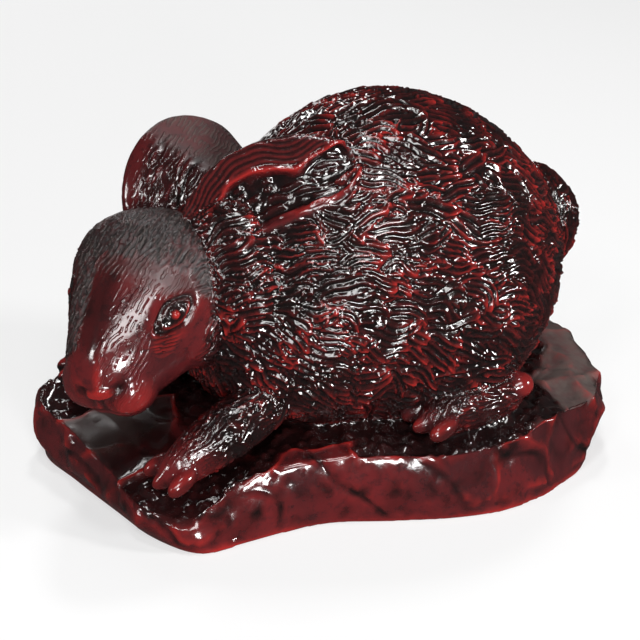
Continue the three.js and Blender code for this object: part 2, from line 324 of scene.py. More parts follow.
def closed_skin(stations, sectors, place):
    """A closed skin of rings between two poles. place takes the way from pole to pole, 0 to 1,
    and the way around, 0 to a full turn, as whole arrays, and gives the points."""
    rings = np.arange(1, stations)
    along = np.concatenate([[0], np.repeat(rings / stations, sectors), [1]])
    turn = np.arange(sectors) / sectors * FULL_TURN
    around = np.concatenate([[0], np.tile(turn, stations - 1), [0]])
    points = place(along, around)
    here = np.arange(sectors)
    beside = (here + 1) % sectors
    row = 1 + (rings[:-1, None] - 1) * sectors
    quads = np.stack([row + here, row + beside, row + sectors + beside, row + sectors + here], -1)
    last = len(points) - 1
    caps = np.concatenate([
        np.stack([here * 0, 1 + beside, 1 + here], -1),
        np.stack([here * 0 + last, last - sectors + here, last - sectors + beside], -1),
    ])
    faces = quads.reshape(-1, 4).tolist() + caps.tolist()
    return points, faces, along, around


def limb(spine, wide, high, low=None, up=UP, roundness=1.0):
    """A rounded limb: a spine whose oval section fades to nothing at both ends as a power of
    the sine of the way along. wide, high and low are half sizes graded along the spine."""
    low = high if low is None else low

    def place(along, around):
        run = (1 - np.cos(np.pi * along)) / 2
        taper = (np.sin(np.pi * along).clip(0) ** roundness)[:, None]
        middle, ahead = smooth_path(spine, run)
        side = unit(np.cross(ahead, up))
        over = np.cross(side, ahead)
        height = np.where(np.sin(around) > 0, graded(high, run), graded(low, run))
        return (middle + side * (np.cos(around) * graded(wide, run))[:, None] * taper
                + over * (np.sin(around) * height)[:, None] * taper)

    return place


def trunk_place(along, around):
    """The trunk: sections graded from chest to rump, fuller below than a plain oval, with
    rounded swellings added for haunch and shoulder."""
    run = (1 - np.cos(np.pi * along)) / 2
    taper = np.sin(np.pi * along).clip(0) ** graded(TRUNK_ROUNDNESS, run)
    from_side = np.arctan2(np.sin(around), np.abs(np.cos(around)))
    swell = sum(
        height * np.exp(-(((run - at) / reach) ** 2 + ((from_side + below) / spread) ** 2))
        for at, below, height, reach, spread in SWELLS
    )
    lift = swell * np.minimum(1, taper * 1.5)
    above = np.sin(around) > 0
    height = np.where(above, graded(TRUNK_TOP_HEIGHT, run), graded(TRUNK_LOW_HEIGHT, run))
    fullness = np.where(above, 1, TRUNK_BELLY)
    across = np.sign(np.cos(around)) * np.abs(np.cos(around)) ** fullness
    upward = np.sign(np.sin(around)) * np.abs(np.sin(around)) ** fullness
    return np.stack([
        TRUNK_FRONT + (TRUNK_REAR - TRUNK_FRONT) * run,
        TRUNK_MIDDLE_Y - across * (graded(TRUNK_HALF_WIDTH, run) * taper + lift),
        graded(TRUNK_MIDDLE_Z, run) + upward * (height * taper + lift),
    ], -1)


def strike(points):
    """Presses what lies beyond each struck face back onto it, level with the ground, with a
    hyperbola rounding the edge between faces."""
    points = points.copy()
    for turn, tilt, reach in FACETS:
        yaw, pitch = math.radians(turn), math.radians(tilt)
        level = np.array([math.cos(yaw) * math.cos(pitch), math.sin(yaw) * math.cos(pitch), 0])
        beyond = points @ (level + [0, 0, math.sin(pitch)]) - reach
        press = (beyond + np.hypot(beyond, FACET_EDGE)) / 2
        points -= (press / (level @ level))[:, None] * level
    return points


def rock_place(along, around):
    """The rock: straight from the crown to the edge ring, bulging down to the foot ring, then
    flat to the middle of the underside."""
    turn = around / FULL_TURN
    low, _ = smooth_path(ROCK_FOOT, turn, closed=True)
    high, _ = smooth_path(ROCK_EDGE, turn, closed=True)
    crown = np.array(ROCK_CROWN)
    top = strike(crown + (high - crown) * (along / ROCK_TOP_SHARE)[:, None].clip(0, 1))
    down = ((along - ROCK_TOP_SHARE) / ROCK_SIDE_SHARE).clip(0, 1)[:, None]
    side = high + (low - high) * down
    side[:, :2] *= 1 + ROCK_SWELL * np.sin(np.pi * down)
    inward = ((1 - along) / (1 - ROCK_TOP_SHARE - ROCK_SIDE_SHARE)).clip(0, 1)[:, None]
    under = low * inward
    beneath = along > ROCK_TOP_SHARE + ROCK_SIDE_SHARE
    on_top = along < ROCK_TOP_SHARE
    return np.where(on_top[:, None], top, np.where(beneath[:, None], under, strike(side)))


def ear_place(spine, facing, breadth, curl):
    """An ear: a leaf along its spine, curled into a trough by the square of the way across,
    whose open side faces one direction."""

    def place(along, around):
        run = (1 - np.cos(np.pi * along)) / 2
        taper = np.sqrt(np.sin(np.pi * along).clip(0))
        middle, ahead = smooth_path(spine, run)
        side = unit(np.cross(ahead, unit(np.array(facing, float))))
        outward = np.cross(side, ahead)
        across = np.cos(around)
        thick = np.where(np.sin(around) > 0, EAR_FRONT, EAR_BACK)
        rise = (curl * across ** 2 + thick * np.sin(around)) * taper
        wide = across * breadth * graded(EAR_HALF_WIDTH, run) * taper
        return middle + side * wide[:, None] + outward * rise[:, None]

    return place


def toe_places(spine):
    """The toes at the far end of a leg, fanned about its heading."""
    tip, _ = smooth_path(spine, np.array([TOE_ROOT]))
    _, ahead = smooth_path(spine, np.array([1.0]))
    aside = unit(np.cross(ahead, UP))
    for index in range(TOE_COUNT):
        place = index - (TOE_COUNT - 1) / 2
        course = unit(ahead + aside * place * TOE_FAN)
        root = tip + aside * place * TOE_SPREAD
        start = (root - course * TOE_HALF[0])[0]
        end = (root + course * (TOE_HALF[0] - TOE_SHORTER * abs(place)))[0]
        yield limb([start, end], [TOE_HALF[1]] * 2, [TOE_HALF[2]] * 2)


HEAD_X = unit(HEAD_FACING)
HEAD_Y = unit(np.cross(HEAD_X, UP))
HEAD_Z = np.cross(HEAD_Y, HEAD_X)


def on_head(ahead, aside, above):
    """A place measured from the head's middle."""
    return HEAD_MIDDLE + HEAD_X * ahead + HEAD_Y * aside + HEAD_Z * above


def all_forms():
    """Every form of the figure: the part it belongs to, its stations and sectors, its formula."""
    yield "rock", 90, 300, rock_place
    yield "trunk", 120, 180, trunk_place
    yield "neck", 24, 48, limb(NECK_SPINE, NECK_HALF, NECK_HALF)
    skull = [on_head(-HEAD_BEHIND, 0, 0), HEAD_MIDDLE, on_head(HEAD_AHEAD, 0, 0)]
    yield "head", 72, 96, limb(
        skull, HEAD_HALF_WIDTH, HEAD_TOP_HEIGHT, HEAD_LOW_HEIGHT, roundness=0.7
    )
    for (ahead, aside, above), (length, wide, high) in FACE_FORMS:
        for way in (-1, 1):
            spine = [on_head(ahead + step, way * aside, above) for step in (-length, length)]
            yield "head", 24, 32, limb(spine, [wide] * 2, [high] * 2)
    for part, ear in zip(("near_ear", "far_ear"), EARS):
        yield part, 64, 64, ear_place(*ear)
    yield "tail", 32, 40, limb(
        TAIL_SPINE, TAIL_HALF_WIDTH, TAIL_HALF_DEPTH, up=np.array([1.0, 0, 0]), roundness=0.8
    )
    legs = ("foreleg", FORELEGS, FORELEG_HALF), ("hind_foot", HIND_FEET, HIND_FOOT_HALF)
    for part, spines, half in legs:
        for spine in spines:
            yield part, 32, 32, limb(spine, half, half, roundness=0.7)
            for toe in toe_places(spine):
                yield "toe", 16, 16, toe
    for heel in HEELS:
        yield "toe", 16, 16, limb(heel, [HEEL_HALF] * 2, [HEEL_HALF] * 2)


def raw_figure():
    """All forms in one mesh of closed skins that run into each other. The colour layer holds
    each point's part number and its place along and around its form."""
    points, faces, notes = [], [], []
    count = 0
    for part, stations, sectors, place in all_forms():
        skin, skin_faces, along, around = closed_skin(stations, sectors, place)
        points.append(skin)
        faces.extend([[count + corner for corner in face] for face in skin_faces])
        number = np.full(len(skin), float(PARTS.index(part)))
        notes.append(np.stack([number, along, np.cos(around), np.sin(around)], -1))
        count += len(skin)
    mesh = bpy.data.meshes.new("raw_figure")
    mesh.from_pydata(np.concatenate(points).tolist(), [], faces)
    layer = mesh.color_attributes.new("notes", "FLOAT_COLOR", "POINT")
    layer.data.foreach_set("color", np.concatenate(notes).astype(np.float32).ravel())
    raw = bpy.data.objects.new("raw_figure", mesh)
    bpy.context.scene.collection.objects.link(raw)
    return raw


def applied(source):
    """A copy of an object's mesh with its modifiers applied."""
    graph = bpy.context.evaluated_depsgraph_get()
    return bpy.data.meshes.new_from_object(source.evaluated_get(graph))


def read_points(mesh):
    """The places of a mesh's points."""
    flat = np.empty(len(mesh.vertices) * 3)
    mesh.vertices.foreach_get("co", flat)
    return flat.reshape(-1, 3)


def read_edges(mesh):
    """The two points of each edge."""
    flat = np.empty(len(mesh.edges) * 2, np.int32)
    mesh.edges.foreach_get("vertices", flat)
    return flat.reshape(-1, 2)


def point_normals(mesh, points):
    """Normals of points in a mesh of quads: the cross products of the diagonals, summed."""
    flat = np.empty(len(mesh.loops), np.int32)
    mesh.loops.foreach_get("vertex_index", flat)
    quads = flat.reshape(-1, 4)
    corners = points[quads]
    across = np.cross(corners[:, 2] - corners[:, 0], corners[:, 3] - corners[:, 1])
    total = np.stack([
        np.bincount(quads.ravel(), np.repeat(across[:, axis], 4), len(points)) for axis in range(3)
    ], -1)
    return unit(total)


def spread_out(values, edges, rounds, weight=0.5):
    """Values smoothed over the surface: each round moves a value towards its neighbours' mean."""
    values = values.reshape(len(values), -1).copy()
    both = edges.ravel()
    other = edges[:, ::-1].ravel()
    degree = np.bincount(both, minlength=len(values))[:, None]
    for _ in range(rounds):
        mean = np.stack([
            np.bincount(both, column[other], len(values)) for column in values.T
        ], -1) / degree
        values += (mean - values) * weight
    return values


def scatter(cells, salt):
    """Even random numbers from 0 to 1 out of whole cell numbers: the far digits of a sine."""
    mixed = np.sin(cells @ np.array([12.9898, 78.233, 37.719]) + salt * 4.1414) * 43758.5453
    return mixed - np.floor(mixed)


def seeds_near(cells, salt=0.0):
    """The cells of a lattice next to each point's own, and the seed scattered in each, in cells."""
    for step in itertools.product((-1, 0, 1), repeat=3):
        cell = cells + step
        yield cell, cell + np.stack([scatter(cell, salt + axis) for axis in range(3)], -1)


def blobs(points, spacing, salt):
    """Distance to the nearest of scattered seeds, one in each cell of a lattice, distance to
    the second nearest, and the nearest one's own random number. Distances are in cells."""
    nearest = np.full(len(points), 9.0)
    second = np.full(len(points), 9.0)
    number = np.zeros(len(points))
    for cell, seed in seeds_near(np.floor(points / spacing), salt):
        away = np.linalg.norm(points / spacing - seed, axis=1)
        closer = away < nearest
        second = np.where(closer, nearest, np.minimum(second, away))
        number = np.where(closer, scatter(cell, salt + 5), number)
        nearest = np.where(closer, away, nearest)
    return nearest, second, number


def cloud(points, size, salt=0.0):
    """Soft noise from -1 to 1: a mean of sines in several directions."""
    total = np.zeros(len(points))
    for index in range(6):
        angle = index * 2.4 + salt
        course = unit(np.array([math.cos(angle), math.sin(angle), math.cos(index * 1.7 + salt * 2)]))
        finer = 1 + 0.13 * index
        total += np.sin(points @ course * FULL_TURN / size * finer + index * 1.9 + salt)
    return total / 3


def fur_locks(points, normals, flow, sizes):
    """Overlapping locks of fur. Each lattice cell holds a seed with a leaf laid along the flow.
    A leaf rises from root to tip and falls away to its sides, the highest leaf covers the
    rest, and rows of strokes run along it. Returns the lock's height, the strokes' height and
    how near the lock's edge is, all from 0 to 1."""
    side = np.cross(normals, flow)
    best = np.full(len(points), -1.0)
    rise = np.zeros(len(points))
    stroke = np.full(len(points), 0.3)
    rim = np.zeros(len(points))
    for cell, seed in seeds_near(np.floor(points / sizes["spacing"])):
        away = points - seed * sizes["spacing"]
        turn = (scatter(cell, 4) - 0.5) * sizes["turn"]
        along, across = dot(away, flow), dot(away, side)
        run = along * np.cos(turn) + across * np.sin(turn)
        wide = across * np.cos(turn) - along * np.sin(turn)
        wide += (scatter(cell, 5) - 0.5) * sizes["bend"] * run ** 2
        wide += sizes["wave"] * np.sin(run * 2.0 + scatter(cell, 11) * FULL_TURN)
        length = sizes["length"] * (0.8 + 0.35 * scatter(cell, 6))
        way = run / length + LOCK_ROOT
        half = sizes["width"] * (0.75 + 0.5 * scatter(cell, 7))
        half = half * np.sqrt(np.clip(way * 3, 0, 1)) * np.sqrt(np.clip(1 - way ** 1.8, 0, 1))
        share = np.abs(wide) / np.maximum(half, 1e-3)
        fall = 0.3 * share ** 2
        height = way - fall - 0.35 * np.abs(dot(away, normals)) + 0.3 * scatter(cell, 8)
        better = (share < 1) & (way > 0) & (way < 1) & (height > best)
        best = np.where(better, height, best)
        rise = np.where(better, np.clip(way, 0, 1) - fall, rise)
        pitch = sizes["pitch"] * (0.85 + 0.35 * scatter(cell, 9))
        stroke = np.where(better, ripple(wide / pitch + 0.5 * scatter(cell, 10)), stroke)
        rim = np.where(better, np.maximum(ease(0.7, 0.95, share), ease(0.8, 0.97, way)), rim)
    return rise, stroke, rim


def fuse(raw, voxel, softening):
    """One skin round all forms: a remesh on a fine lattice, softened a little, so that the
    forms flow into each other. Returns the mesh with the notes of the nearest form."""
    remesh = raw.modifiers.new("fuse", "REMESH")
    remesh.mode = "VOXEL"
    remesh.voxel_size = voxel
    mesh = applied(raw)
    raw.modifiers.remove(remesh)
    old = mesh.attributes.get("notes")
    if old is not None:
        mesh.attributes.remove(old)
    mesh.color_attributes.new("notes", "FLOAT_COLOR", "POINT")
    fused = bpy.data.objects.new("fused_figure", mesh)
    bpy.context.scene.collection.objects.link(fused)
    carry = fused.modifiers.new("carry", "DATA_TRANSFER")
    carry.object = raw
    carry.use_vert_data = True
    carry.data_types_verts = {"COLOR_VERTEX"}
    carry.vert_mapping = "POLYINTERP_NEAREST"
    carry.layers_vcol_vert_select_src = "ALL"
    carry.layers_vcol_vert_select_dst = "NAME"
    noted = applied(fused)
    bpy.data.objects.remove(fused)
    points = spread_out(read_points(noted), read_edges(noted), softening)
    return noted, points


class Skin:
    """The fused skin as whole arrays: points, edges, normals, the part that each point belongs
    to, its place along and around that part's form, and its place on the head."""

    def __init__(self, mesh, points):
        self.points = points
        self.edges = read_edges(mesh)
        self.normals = point_normals(mesh, points)
        self.upward = self.normals[:, 2]
        flat = np.empty(len(points) * 4, np.float32)
        mesh.color_attributes["notes"].data.foreach_get("color", flat)
        number, self.along, self.cos_around, self.sin_around = flat.reshape(-1, 4).T
        number = np.round(number).astype(int)
        self.of_part = {name: number == index for index, name in enumerate(PARTS)}
        self.legs = self.of_part["foreleg"] | self.of_part["hind_foot"]
        away = points - HEAD_MIDDLE
        self.ahead, self.aside, self.above = away @ HEAD_X, away @ HEAD_Y, away @ HEAD_Z


def carve_eye(skin, way):
    """One eye, measured along it from inner to outer corner and across it downwards. A ball
    with a raised pupil in a groove lies inside an almond that narrows to its corners. Round
    it run a lid, a groove, a shallow socket, and ripples of folded skin behind the outer
    corner. Each is a bell of the distance from its own line. Returns lift, dark and red."""
    inner, outer, centre, facing = (
        np.array(place) * (1, way, 1) for place in (EYE_INNER, EYE_OUTER, EYE_MIDDLE, EYE_FACING)
    )
    here = np.stack([skin.ahead, skin.aside, skin.above], -1) - centre
    length = unit(outer - inner)
    along = here @ length
    across = here @ unit(np.cross(length, facing) * way)
    nearby = (skin.aside * way > 1.5) & (np.linalg.norm(here, axis=1) < EYE_REACH)
    narrowing = (EYE_HALF_HEIGHT - 0.12 * np.abs(along)).clip(0.4)
    almond = np.hypot(along / EYE_HALF_LENGTH, across / narrowing)
    ball = np.hypot(along + 0.05, across)
    bump = 0.5 * np.sqrt(np.clip(1 - (ball / EYEBALL_HALF) ** 2, 0, 1)) - 0.12
    bump = bump + 0.1 * ease(PUPIL_HALF, 0.26, ball) - 0.14 * bell(ball - IRIS_HALF, 0.12)
    inside = ease(1.02, 0.85, almond)
    lid = 0.34 * bell(almond - 1.08, 0.17)
    fold = bell(np.hypot(along + 2.1, across - 1.0), 0.949)
    ripples = 0.22 * fold * np.cos(FULL_TURN * almond / FOLD_PITCH)
    groove = 0.3 * bell(almond - 1.45, 0.16)
    socket = 0.35 * bell(almond - 1.0, 0.9)
    lift = (bump * inside + lid + ripples - groove - socket) * (1 if way < 0 else FAR_SHARE)
    pupil = ease(PUPIL_HALF, 0.24, ball)
    outside_pupil = ease(0.3, 0.42, ball)
    shade = 0.45 * ease(2.6, 1.4, almond) + 0.5 * ease(1.5, 1.15, almond) * outside_pupil
    shade = 0.5 * fold + shade * (1 - 0.8 * pupil) + 0.95 * inside * outside_pupil
    lower_lid = ease(0.15, 0.3, lid) * ease(0, 0.4, across)
    return [np.where(nearby, layer, 0) for layer in (lift, shade - 0.7 * lower_lid, pupil)]


def carve_muzzle(above, middle, front):
    """Nose and mouth, measured above and aside of the muzzle's middle line: a raised pad with a
    stem above it, two pitted nostrils, two rounded lips with a seam beside each, and a mouth
    line with a cleft over it. Lines are bells, pads ease off with an oval distance. Returns
    lift, dark and red."""
    pad = np.hypot(middle / NOSE_HALF[0], (above - NOSE_ABOVE) / NOSE_HALF[1])
    stem = bell(middle, 0.3) * ease(0.9, 1.3, above) * ease(3.4, 2.2, above)
    mouth_line = MOUTH_ABOVE - 0.35 * np.abs(middle) + 0.1 * middle ** 2
    mouth = bell(above - mouth_line, LINE_WIDTH) * ease(MOUTH_HALF, 1.2, np.abs(middle))
    cleft = bell(middle, LINE_WIDTH) * ease(0.6, 0.1, above) * ease(-1.3, -0.9, above)
    slit = np.maximum(mouth, cleft)
    lift = 0.2 * ease(1.25, 0.8, pad) + 0.2 * stem - 0.2 * slit
    dark = 0.6 * slit
    red = np.maximum(0.6 * ease(1.1, 0.6, pad), 0.5 * stem)
    for way, shown in ((-1, 1), (1, FAR_SHARE)):
        nostril = np.hypot(
            (middle - way * NOSTRIL_ASIDE) / NOSTRIL_HALF[0], (above - 1.15) / NOSTRIL_HALF[1]
        )
        lip = np.hypot((middle - way * LIP_ASIDE) / LIP_HALF[0], (above + 0.5) / LIP_HALF[1])
        seam = bell(middle - way * (0.75 + 0.3 * np.abs(above)), LINE_WIDTH)
        seam = seam * ease(0.7, 0.3, above) * ease(-1.2, -0.6, above)
        lift = lift - 0.45 * bell(nostril, 1) + 0.25 * shown * ease(1.2, 0.3, lip) - 0.12 * seam
        dark = np.maximum.reduce([dark, 0.95 * bell(nostril, 1.3), 0.45 * seam])
        red = np.maximum(red, 0.4 * shown * ease(1.3, 0.4, lip))
    return lift * front, dark * front, red * front


def carve_face(skin):
    """The face: eyes and muzzle, a low ridge down the forehead and a hollow beside the far lip,
    both fading with an oval distance. Toning darkens the forehead, painted shade darkens the far
    side of the snout, partly broken by soft noise, and scratched strokes cover the snout's near
    side and the forehead."""
    ahead, aside, above = skin.ahead, skin.aside, skin.above
    middle = aside + 0.1 * ahead.clip(0)
    front = ease(7.5, 9.5, ahead)
    parts = [carve_eye(skin, -1), carve_eye(skin, 1), carve_muzzle(above, middle, front)]
    lifts, darks, reds = zip(*parts)
    hollow = np.hypot(np.hypot((ahead - 7) / 2.6, (aside - 4.4) / 2), (above + 0.3) / 2.6)
    ridge = bell(middle, 1.3) * ease(-1, 3, ahead) * ease(2, 3.5, above)
    forehead = ease(3.2, 1.9, ahead) * ease(2.5, 3.5, above)
    snout = ease(-4.3, -3.2, aside) * ease(-0.4, -1.6, aside)
    snout = snout * ease(1.5, 4, ahead) * ease(-1.2, 0.6, above)
    # Painted shade: the far side of the snout is darkened as if turned from the light, partly broken
    # by soft noise.
    far_side_painted_shade = 0.5 * ease(-0.8, 0.6, middle) + 0.35 * ease(0, 0.8, cloud(skin.points, 2.4, 6.0))
    far_side_painted_shade = far_side_painted_shade * ease(0, 2, above) * ease(9.5, 8, ahead)
    layers = {
        "lift": sum(lifts) - 0.8 * bell(hollow, 1) + 0.25 * ridge,
        "patina_and_shade": np.maximum.reduce([*darks, 0.55 * forehead, far_side_painted_shade]),
        "rub": np.maximum.reduce(reds),
        "hatch": np.maximum(snout, 0.8 * forehead),
        "dull": 0.3 * forehead,
    }
    return {name: layer * skin.of_part["head"] for name, layer in layers.items()}


def carve_ears(skin):
    """Ear relief. The near ear's open side has a rolled rim, a bell of the way across from its
    own line, with broken ripples in the trough inside it and fine lines outside. The far
    ear's has broken ripples in the middle alone, and both backs have plain ripples."""
    near, far = skin.of_part["near_ear"], skin.of_part["far_ear"]
    across = skin.cos_around
    run = (1 - np.cos(np.pi * skin.along)) / 2
    wander = 0.1 * cloud(skin.points, 4.0, 3.0)
    front = ease(-0.1, 0.25, skin.sin_around)
    past = across - graded(EAR_RIM, run) - 0.5 * wander
    rim = bell(past, 0.06) + 0.7 * bell(across - 0.8 - wander, 0.08) * ease(0.45, 0.75, run)
    trough = ease(0.02, 0.22, past) * ease(0.95, 0.7, across)
    strip = ease(0, -0.1, past)
    strokes = ripple(across * EAR_STROKES + wander * 3)
    strokes = strokes * ease(-0.6, 0.3, cloud(skin.points, 1.7, 5.0))
    lines = ripple(past * EAR_LINES + wander * 5)
    near_lift = 0.42 * rim + trough * (0.3 * strokes - 0.5) + strip * 0.13 * lines
    near_dark = trough * (1.1 - 0.35 * strokes) + strip * (1 - 0.7 * lines) - 0.8 * rim
    middle = ease(0.75, 0.45, np.abs(across)) * ease(0.08, 0.2, run) * ease(0.75, 0.6, run)
    far_dark = 0.35 + 0.5 * middle * (1 - strokes) + 0.4 * ease(0.1, 0.7, across)
    back = ripple(across * EAR_STROKES + wander)
    front_lift = np.where(near, near_lift * ease(0.04, 0.16, run), 0.16 * middle * (strokes - 0.5))
    front_dark = np.where(near, near_dark, far_dark)
    grey = far * ease(0.55, 0.72, run) + 0.25 * (1 - front)
    layers = {
        "lift": front_lift * front + 0.12 * back * (1 - front),
        "patina_and_shade": (front_dark * front + (0.9 - 0.36 * back) * (1 - front)).clip(0, 1),
        "rub": (near * front * (0.8 * rim + 0.22 * strip * ease(0.7, 1, lines))).clip(0, 1),
        "dull": 0.7 * grey.clip(0, 1),
        "hatch": far * np.maximum(front * middle, ease(0.5, 0.65, run)),
        "sheltered": np.ones(len(run)),
    }
    return {name: layer * (near | far) for name, layer in layers.items()}


def leg_gap(points):
    """How far each point of the rock is from the nearest foot, leg or belly, in millimetres:
    the distance to points along each spine less the half width there, and the belly's oval."""
    oval = np.hypot(*((points[:, :2] - BELLY_MIDDLE) / BELLY_HALF).T)
    gap = (oval - 1) * BELLY_HALF[1]
    run = np.linspace(0, 1, CHANNEL_STEPS)
    for spine in FORELEGS + HIND_FEET:
        middle, ahead = smooth_path(spine, run)
        middle = np.concatenate([middle, middle[-1:] + ahead[-1:] * TOE_HALF[0]])
        for place in middle:
            gap = np.minimum(gap, np.linalg.norm(points - place, axis=1) - CHANNEL_INNER)
    return gap


def carve_rock(skin):
    """Rock relief: rounded dimples, deepest at both ends, and small pits, both round scattered
    seeds, long slanting grooves and fine grit. Near the legs and the belly lies a channel of
    rounded lumps with a raised ledge outside it. The flat underside is left alone."""
    points = skin.points
    x, y, z = points.T
    rock = skin.of_part["rock"]
    on = rock * ease(0.15, 0.9, z)
    flat_top = on * ease(0.75, 0.95, skin.upward)
    drift = np.stack([cloud(points, 7.0, 1.0 + axis) for axis in range(3)], -1)
    nearest, second, _ = blobs(points + 0.6 * drift, DIMPLE_SPACING, 2.0)
    depth = 0.14 + np.maximum(0.45 * ease(4, 10, x), 0.25 * ease(-10, -15, x))
    dimples = depth * ease(-0.15, 0.5, second - nearest)
    away, _, number = blobs(points, PIT_SPACING, 7.0)
    cuts = PIT_DEPTH * ease(0.45, 0.1, away) * (number > 0.75)
    slant = points @ unit(np.array(GROOVE_COURSE)) / GROOVE_PITCH + 0.3 * cloud(points, 9.0, 4.0)
    cuts = cuts + GROOVE_DEPTH * bell(slant % 1 - 0.5, GROOVE_WIDTH)
    grit = 0.01 * cloud(points, 0.9, 6.0) + 0.04 * cloud(points, 3.2, 8.0)
    stains = 0.55 * ease(0.25, 0.9, cloud(points, 2.3, 9.0))
    stains = stains + 0.4 * ease(0.3, 0.8, cloud(points, 6.0, 5.0))
    dark = on * (0.7 * ease(0.0, 0.2, cuts) + stains).clip(0, 1)

    gap = leg_gap(points) + 0.35 * cloud(points, 5.0, 3.0)
    level = rock * ease(0.3, 0.7, skin.upward)
    channel = level * ease(*CHANNEL_REACH, gap)
    ledge = level * bell(gap - LEDGE_GAP, LEDGE_WIDTH)
    lumps = LUMP_HEIGHT * ease(0.7, 0.1, blobs(points, LUMP_SPACING, 9.0)[0]) - CHANNEL_DEPTH
    # Painted shade: the rock's flat top at the front, under the head and chest, is darkened.
    front_painted_shade = 0.85 * flat_top * ease(-6, -11, x)
    front_left = 0.35 * ease(1, 4, y) * ease(-12, -16, x)
    return {
        "lift": (grit - dimples - cuts) * on * (1 - channel) + channel * lumps + LEDGE_HEIGHT * ledge,
        "patina_and_shade": np.maximum.reduce([dark, 0.93 * channel, front_painted_shade]) * (1 - 0.8 * ledge),
        "dull": 0.9 * flat_top * (1 - channel) * np.maximum(ease(12, 17, x), front_left),
        "sheltered": 0.8 * channel,
    }


def carve_feet(skin):
    """Painted shade on the toes' undersides, deeper on the far side, and scratched strokes on the
    tops of the feet."""
    x, y, _ = skin.points.T
    side = np.where(y > TRUNK_MIDDLE_Y + 2, 1.0, 0.55)
    # Painted shade: the downward-facing parts of the toes are darkened, more on the far side.
    toe_painted_shade = skin.of_part["toe"] * (x < HEELS_FROM) * ease(0.7, 0.2, skin.upward) * side
    tops = skin.legs * ease(0.5, 0.8, skin.upward) * ease(0.45, 0.6, skin.along)
    return {"patina_and_shade": toe_painted_shade, "hatch": tops, "sheltered": toe_painted_shade}


def furred_head(skin):
    """How much of the head is furred, 0 to 1: what lies behind a hairline that slopes back over
    the forehead and down the cheek, and a strip on the far side of the snout. Soft noise
    makes the line waver."""
    ahead, aside, above = skin.ahead, skin.aside, skin.above
    bare = ahead - 0.6 - 0.2 * (above - 3).clip(0) - 1.1 * (1.7 - above).clip(0, 3)
    bare = bare - 0.12 * aside * ease(2.8, 4.2, above)
    far_strip = np.abs(aside - 3.1 + 0.13 * (ahead - 3)) - 1.1
    bare = np.minimum(bare, np.where(above > 0, 2 * far_strip, bare) + ease(8.5, 10, ahead) * 9)
    furred = 1 - ease(-0.4, 0.6, bare + 0.3 * cloud(skin.points, 2.0, 3.0))
    return skin.of_part["head"] * furred


def fur_flow(skin):
    """The way the fur lies: back along the body and sloping down, more so on rump, shoulder
    and belly, back over the head from the nose, down the legs, up the tail. It is smoothed
    over the surface and laid flat against it."""
    points = skin.points
    x, _, z = points.T
    slope = -0.16 - 0.42 * ease(5, 20, x) - 0.6 * ease(-2, -10, x) * ease(20, 12, z)
    slope = slope - 0.5 * ease(13, 7, z) + 0.35 * cloud(points, 9.0, 1.0)
    flow = np.stack([np.ones(len(x)), 0.25 * cloud(points, 11.0, 2.0), slope], -1)
    for name, course in (
        ("head", -HEAD_X),
        ("foreleg", (-1, -0.15, -0.5)),
        ("hind_foot", (-1, -0.1, -0.15)),
        ("tail", (0.1, 0, 1.0)),
    ):
        flow[skin.of_part[name]] = course
    flow = spread_out(flow, skin.edges, 10)
    return unit(flow - skin.normals * dot(flow, skin.normals)[:, None])


def carve_coat(skin, settings):
    """The coat: locks in three sizes, lower on the crown, legs and back. Toning fills what lies
    between the strokes, and their crests and the locks' edges are rubbed red in patches. The
    crown is matt and scratched instead of rubbed."""
    points, of_part, legs = skin.points, skin.of_part, skin.legs
    crown = furred_head(skin)
    furry = (of_part["trunk"] | of_part["neck"] | of_part["tail"]) + crown
    furry = furry + of_part["foreleg"] * ease(0.8, 0.5, skin.along)
    furry = furry + 0.8 * of_part["hind_foot"] * ease(0.9, 0.75, skin.along)
    furry = spread_out(furry, skin.edges, 4)[:, 0]
    flow = fur_flow(skin)
    trunk_locks = {
        "spacing": settings.lock_spacing / MM,
        "length": settings.lock_length / MM,
        "width": settings.lock_width / MM / 2,
        "pitch": settings.stroke_pitch / MM,
        "turn": settings.lock_turn,
        "bend": LOCK_BEND,
        "wave": LOCK_WAVE,
    }
    head = of_part["head"]
    chest = ~head & (legs | (np.linalg.norm(points - CHEST_MIDDLE, axis=1) < CHEST_REACH))
    rise, stroke, rim = np.zeros((3, len(points)))
    for these, locks in ((~head & ~chest, trunk_locks), (chest, LEG_LOCKS), (head, HEAD_LOCKS)):
        these = these & (furry > 0)
        rise[these], stroke[these], rim[these] = fur_locks(
            points[these], skin.normals[these], flow[these], locks
        )
    height = settings.lock_height / MM * (1 - 0.8 * crown) * (1 - 0.5 * legs)
    height = height * (1 - 0.5 * ease(0.2, 0.8, skin.upward))
    lock_lift = spread_out(height * (rise - 0.55) + 0.05 * rim, skin.edges, 2)[:, 0]
    stroke_lift = settings.stroke_height / MM * (1 - 0.1 * crown) * (stroke - 0.5)
    rubbed = 0.25 + 0.75 * ease(-0.7, 0.8, cloud(points, 6.0, 12.0))
    crest = ease(0.65, 1.0, stroke)
    # Painted shade: on the legs and the low flanks above the rock the toning stays darker and less
    # red shows, standing for the shade under the body.
    painted_low_shade = np.where(legs, 0.5, 0.4 * ease(11, 8, points[:, 2]))
    cleared = 0.75 * crest * (0.25 + 0.75 * rubbed) + 0.6 * rim * rubbed
    red = (0.6 * rim + 0.9 * crest * ease(0.3, 0.8, rise)) * rubbed
    return {
        "lift": furry * (lock_lift + stroke_lift),
        "patina_and_shade": furry * (1.15 - cleared * (1 - painted_low_shade)).clip(0, 1),
        "rub": furry * red.clip(0, 1) * (1 - crown) * (1 - 0.5 * painted_low_shade),
        "dull": 0.42 * crown * ease(-1, 3, skin.above),
        "hatch": 0.6 * crown,
        "sheltered": furry,
    }


def layer_of(carvings, name):
    """One layer of every carving that has it."""
    return [carving[name] for carving in carvings if name in carving]


